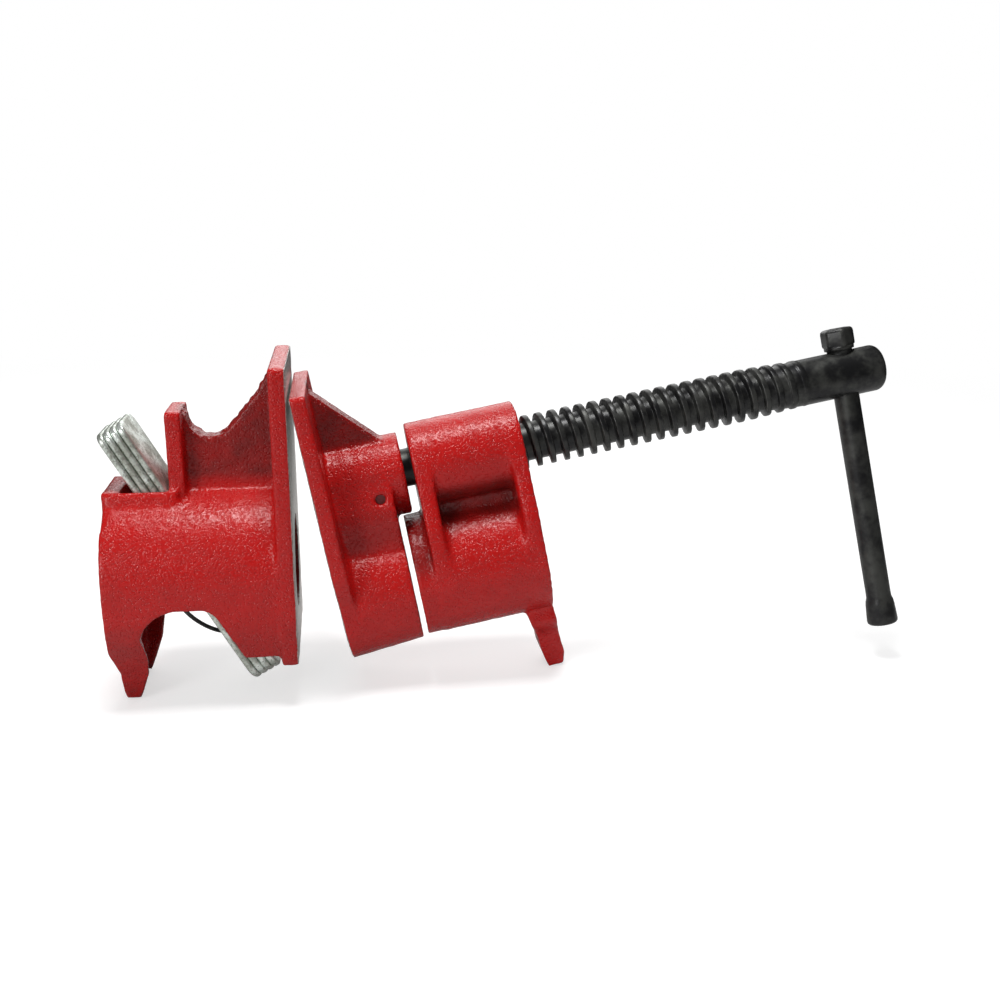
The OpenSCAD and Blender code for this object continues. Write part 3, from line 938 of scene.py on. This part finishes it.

# %% [markdown]
# ## Clutch spring
# One turn of wire lies on the rear wall and one lies on the tilted plates, and the wire crosses
# between them over the top of the pipe. The path is worked out from the angle round the pipe,
# and a small circle is carried along it.

# %% spring
WIRE_R, COIL_R = 0.6, 17.6
PACK_T = 4 * PLATE_STEP
REAR_WALL_X = -48.5
REAR_X = REAR_WALL_X + WIRE_R + 0.2
BOW, BOW_AT, BOW_WIDTH = 4.5, 612, 42     # mm, degrees and degrees
turn_at = np.radians(np.linspace(-80, 800, 300))


def spring_path(angle):
    """x goes from the rear wall to the plates' back as the angle passes over the top, and y and z
    lie on a circle that hangs a little low. The front turn bows away from the plates on its near
    side."""
    y, z = COIL_R * np.sin(angle), COIL_R * np.cos(angle) - 1.2 - 0.9 * (1 - np.cos(angle))
    behind = (PACK_T + WIRE_R + 0.35) / math.cos(PLATE_TILT)
    back = FULCRUM[0] - behind + (FULCRUM[2] - z) * math.tan(PLATE_TILT)
    back = back - BOW * np.exp(-((np.degrees(angle) - BOW_AT) / BOW_WIDTH) ** 2)
    rise = step(np.degrees(angle), 250, 470)
    return np.stack([REAR_X + rise * (back - REAR_X), y, z], axis=-1)


def tube(path, radius, sides=14):
    """A round tube with closed ends: circles across the path, radius * (cos * a + sin * b)."""
    along = np.gradient(path, axis=0)
    along /= np.linalg.norm(along, axis=1)[:, None]
    a = np.cross(along, [1.0, 0.0, 0.0])
    a /= np.linalg.norm(a, axis=1)[:, None]
    b = np.cross(along, a)
    angle = np.linspace(0, 2 * np.pi, sides, endpoint=False)
    c, s = np.cos(angle)[None, :, None], np.sin(angle)[None, :, None]
    ring = c * a[:, None, :] + s * b[:, None, :]
    points = (path[:, None, :] + radius * ring).reshape(-1, 3)
    return np.vstack([points, path[:1], path[-1:]]), closed_faces(len(path), sides)


spring = make_piece("clutch_spring_wire", *tube(spring_path(turn_at), WIRE_R))
settle(spring, None, "spring_steel", wire_black, "clutch_spring")
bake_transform(spring)

# %% [markdown]
# ## Cross pin
# The pin keeps its own shape from the frame, and only gets a finish. Its ends were painted over
# with the jaw, so they show as a darker red spot and not as steel.

# %% pin
PIN_STEEL = (0.03, 0.03, 0.03, 1.0)
PIN_PAINT = (0.12, 0.008, 0.008, 1.0)
PAINTED_FROM, PAINTED_TO = 8.5, 9.5       # mm from the middle plane

pin_paint, tree, shader = new_material("painted_pin", Roughness=0.4)
across = add(tree, "ShaderNodeSeparateXYZ", Vector=object_coords(tree)).outputs["Y"]
painted = ramp(tree, calc(tree, "ABSOLUTE", across), PAINTED_FROM * MM, PAINTED_TO * MM)
grain = place_group(tree, grain_tree, Scale=1450.0, Pits=0.3)
tree.links.new(mix(tree, painted, PIN_STEEL, PIN_PAINT), shader.inputs["Base Color"])
bump(tree, shader, grain.outputs["Height"], 0.8, 0.2)
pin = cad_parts["jaw_pin"]
pin.data.materials.clear()
pin.data.materials.append(pin_paint)
print("pin", len(pin.data.polygons), "faces")

# %% [markdown]
# ## Floor, light and background
# The photograph has a plain white background and a faint shadow. The floor is a pale sheet that
# keeps a soft shadow near the object and fades to plain white farther out. The world is white
# to the camera, a mild grey light to matt surfaces, and nearly dark to reflections, so that the
# paint mirrors only the lamps. The soft lamp above makes the speckled highlights along the
# tops, the one at the front left lights the near faces without a glare, and the one behind
# lifts the shadows.

# %% floor
FLOOR_SIZE = 3.0                          # metres from the middle to each side
FLOOR_GREY = 0.55
FLOOR_LIFT = 0.56                         # light added for the camera, so that open floor is white
FLOOR_DROP = 0.45                         # mm below the ground, so that no tip goes through it
FADE_FROM, FADE_TO = 0.22, 0.75           # metres from the middle

floor_z = (GROUND - FLOOR_DROP) * MM
floor_corners = [(x * FLOOR_SIZE, y * FLOOR_SIZE, floor_z)
                 for x, y in ((-1, -1), (1, -1), (1, 1), (-1, 1))]
floor_mesh = bpy.data.meshes.new("floor")
floor_mesh.from_pydata(floor_corners, [], [(0, 1, 2, 3)])
floor = bpy.data.objects.new("floor", floor_mesh)
bpy.context.collection.objects.link(floor)
floor_paint = bpy.data.materials.new("floor_white")
floor_paint.use_nodes = True
tree = floor_paint.node_tree
tree.nodes.clear()
to_camera = tree.nodes.new("ShaderNodeLightPath").outputs["Is Camera Ray"]
matt = add(tree, "ShaderNodeBsdfDiffuse", Color=(FLOOR_GREY, FLOOR_GREY, FLOOR_GREY, 1))
lift = add(tree, "ShaderNodeEmission", Strength=calc(tree, "MULTIPLY", to_camera, FLOOR_LIFT))
near = tree.nodes.new("ShaderNodeAddShader")
far = add(tree, "ShaderNodeEmission", Strength=to_camera)
place = tree.nodes.new("ShaderNodeVectorMath")
place.operation = "LENGTH"
tree.links.new(object_coords(tree), place.inputs[0])
both = tree.nodes.new("ShaderNodeMixShader")
for value, socket in ((matt.outputs[0], near.inputs[0]),
                      (lift.outputs[0], near.inputs[1]),
                      (ramp(tree, place.outputs["Value"], FADE_FROM, FADE_TO), both.inputs[0]),
                      (near.outputs[0], both.inputs[1]),
                      (far.outputs[0], both.inputs[2])):
    tree.links.new(value, socket)
add(tree, "ShaderNodeOutputMaterial", Surface=both.outputs[0])
floor_mesh.materials.append(floor_paint)
print("floor at", round(floor_z / MM, 2), "mm")


# %% lamps and world
def soft_lamp(name, place_mm, size_mm, watts, aim_mm=(60, 0, 10)):
    """A square area lamp at place, turned to aim."""
    data = bpy.data.lights.new(name, "AREA")
    data.shape = "SQUARE"
    data.size = size_mm * MM
    data.energy = watts
    lamp = bpy.data.objects.new(name, data)
    place = np.array(place_mm) * MM
    back = place - np.array(aim_mm) * MM
    back /= np.linalg.norm(back)
    side = np.cross([0.0, 1.0, 0.0] if abs(back[2]) > 0.9 else [0.0, 0.0, 1.0], back)
    side /= np.linalg.norm(side)
    lamp.matrix_world = Matrix(np.column_stack([side, np.cross(back, side), back, place]).tolist()
                               + [[0, 0, 0, 1]])
    lamp.visible_camera = False
    bpy.context.collection.objects.link(lamp)


soft_lamp("lamp_top", (10, -60, 560), 170, 2.2)
soft_lamp("lamp_front", (-430, -520, 200), 260, 1.8)
soft_lamp("lamp_back", (60, 520, 330), 520, 1.5)

WORLD_LEVEL = 0.42
GLOSSY_LEVEL = 0.06
world = bpy.data.worlds.new("white")
world.use_nodes = True
tree = world.node_tree
sky = tree.nodes["Background"]
sky.inputs["Color"].default_value = (1, 1, 1, 1)
rays = tree.nodes.new("ShaderNodeLightPath")
dimmed = calc(tree, "MULTIPLY", rays.outputs["Is Glossy Ray"], WORLD_LEVEL - GLOSSY_LEVEL)
plain = calc(tree, "SUBTRACT", WORLD_LEVEL, dimmed)
tree.links.new(calc(tree, "MAXIMUM", rays.outputs["Is Camera Ray"], plain), sky.inputs["Strength"])
bpy.context.scene.world = world
bpy.context.scene.view_settings.view_transform = "Standard"
